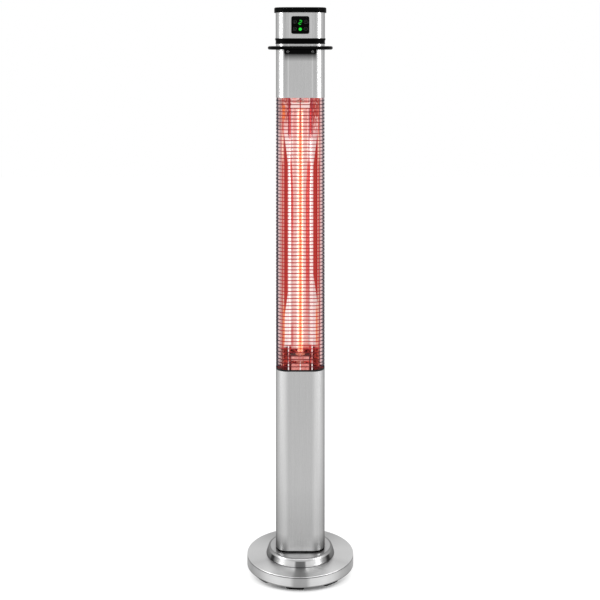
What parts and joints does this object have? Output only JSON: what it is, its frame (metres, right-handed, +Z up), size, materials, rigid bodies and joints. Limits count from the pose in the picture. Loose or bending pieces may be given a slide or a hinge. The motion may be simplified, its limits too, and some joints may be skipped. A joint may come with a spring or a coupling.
{
  "type": "infrared patio heater tower",
  "caption": "Free-standing electric infrared heater: a steel column on a round weighted base, a glowing quartz tube behind a wire cage, a carrying hoop and a button panel",
  "frame": {"origin": "centre of the round base, on the floor under the rubber feet", "axes": "+Z up along the column, -Y towards the front with the cage and the button panel, +X to the right as seen from the front"},
  "size_m": [0.205, 0.205, 1.08],
  "materials": {
    "brushed_column": "brushed lengthwise",
    "polished_base": "turned, nearly polished",
    "cast_iron": "rough cast",
    "zinc": "zinc plated",
    "bright_screw": "polished",
    "die_cast": "die cast, tumbled",
    "rubber": "matte moulded rubber",
    "dark_metal": "satin black powder coat",
    "wire_metal": "heat darkened coat",
    "mirror_sheet": "bright rolled mirror sheet",
    "quartz": "clear fused quartz",
    "glow": "glowing carbon element",
    "ceramic": "unglazed steatite",
    "lead": "glass fibre sleeve",
    "cable": "smooth cable jacket",
    "ribbon": "ribbed ribbon cable",
    "mineral": "pressed mineral fibre",
    "circuit": "solder mask",
    "component": "moulded housings",
    "black_plastic": "fine grain, satin",
    "gloss_handle": "satin gloss",
    "panel_gloss": "high gloss",
    "button_plastic": "semi gloss",
    "green_light": "lit lens"
  },
  "bodies": {
    "heater": {"base_shell": "brushed_column", "base_ballast": "cast_iron", "base_plate": "zinc", "rubber_feet": "rubber", "plate_screws": "zinc", "base_flange": "polished_base", "column_gasket": "rubber", "column_foot": "die_cast", "base_bolts": "zinc", "foot_screws": "zinc", "lower_column": "brushed_column", "cord_gland": "black_plastic", "gland_nut": "black_plastic", "spine_channel": "zinc", "tilt_bracket": "zinc", "tilt_pivot": "zinc", "reed_switch": "black_plastic", "terminal_block": "ceramic", "supply_harness": "cable", "chamber_floor": "dark_metal", "chamber_roof": "brushed_column", "rear_shell": "brushed_column", "rear_screws": "zinc", "reflector": "mirror_sheet", "reflector_clips": "zinc", "cage_wires": "wire_metal", "cage_rods": "wire_metal", "quartz_tube": "quartz", "heating_element": "glow", "tube_caps": "ceramic", "tube_holders": "zinc", "tube_leads": "lead", "upper_column": "brushed_column", "roof_insulation": "mineral", "thermal_cutout": "zinc", "board_bracket": "zinc", "power_board": "circuit", "power_parts": "component", "handle_hoop": "gloss_handle", "handle_bracket": "black_plastic", "handle_screws": "bright_screw", "head_collar": "black_plastic", "head_housing": "brushed_column", "head_cap": "black_plastic", "panel_bezel": "panel_gloss", "control_board": "circuit", "board_screws": "zinc", "panel_switches": "component", "display_module": "panel_gloss", "digit_segments": "green_light", "power_lamp": "green_light", "panel_cable": "ribbon"},
    "pendulum": {"tilt_pendulum": "die_cast"},
    "button_power_cap": {"button_power": "button_plastic"},
    "button_timer_cap": {"button_timer": "button_plastic"},
    "button_up_cap": {"button_up": "button_plastic"},
    "button_down_cap": {"button_down": "button_plastic"}
  },
  "joints": [
    {"name": "tilt_swing", "type": "hinge", "parent": "heater", "child": "pendulum", "pos_m": [0, 0.0091, 0.2321], "axis": [0, 1, 0], "range_deg": [-30, 30]},
    {"name": "press_power", "type": "slide", "parent": "heater", "child": "button_power_cap", "axis": [0, 1, 0], "range_m": [0, 0.0006], "stiffness_N_per_m": 800, "springref_m": -0.001},
    {"name": "press_timer", "type": "slide", "parent": "heater", "child": "button_timer_cap", "axis": [0, 1, 0], "range_m": [0, 0.0006], "stiffness_N_per_m": 800, "springref_m": -0.001},
    {"name": "press_up", "type": "slide", "parent": "heater", "child": "button_up_cap", "axis": [0, 1, 0], "range_m": [0, 0.0006], "stiffness_N_per_m": 800, "springref_m": -0.001},
    {"name": "press_down", "type": "slide", "parent": "heater", "child": "button_down_cap", "axis": [0, 1, 0], "range_m": [0, 0.0006], "stiffness_N_per_m": 800, "springref_m": -0.001}
  ]
}
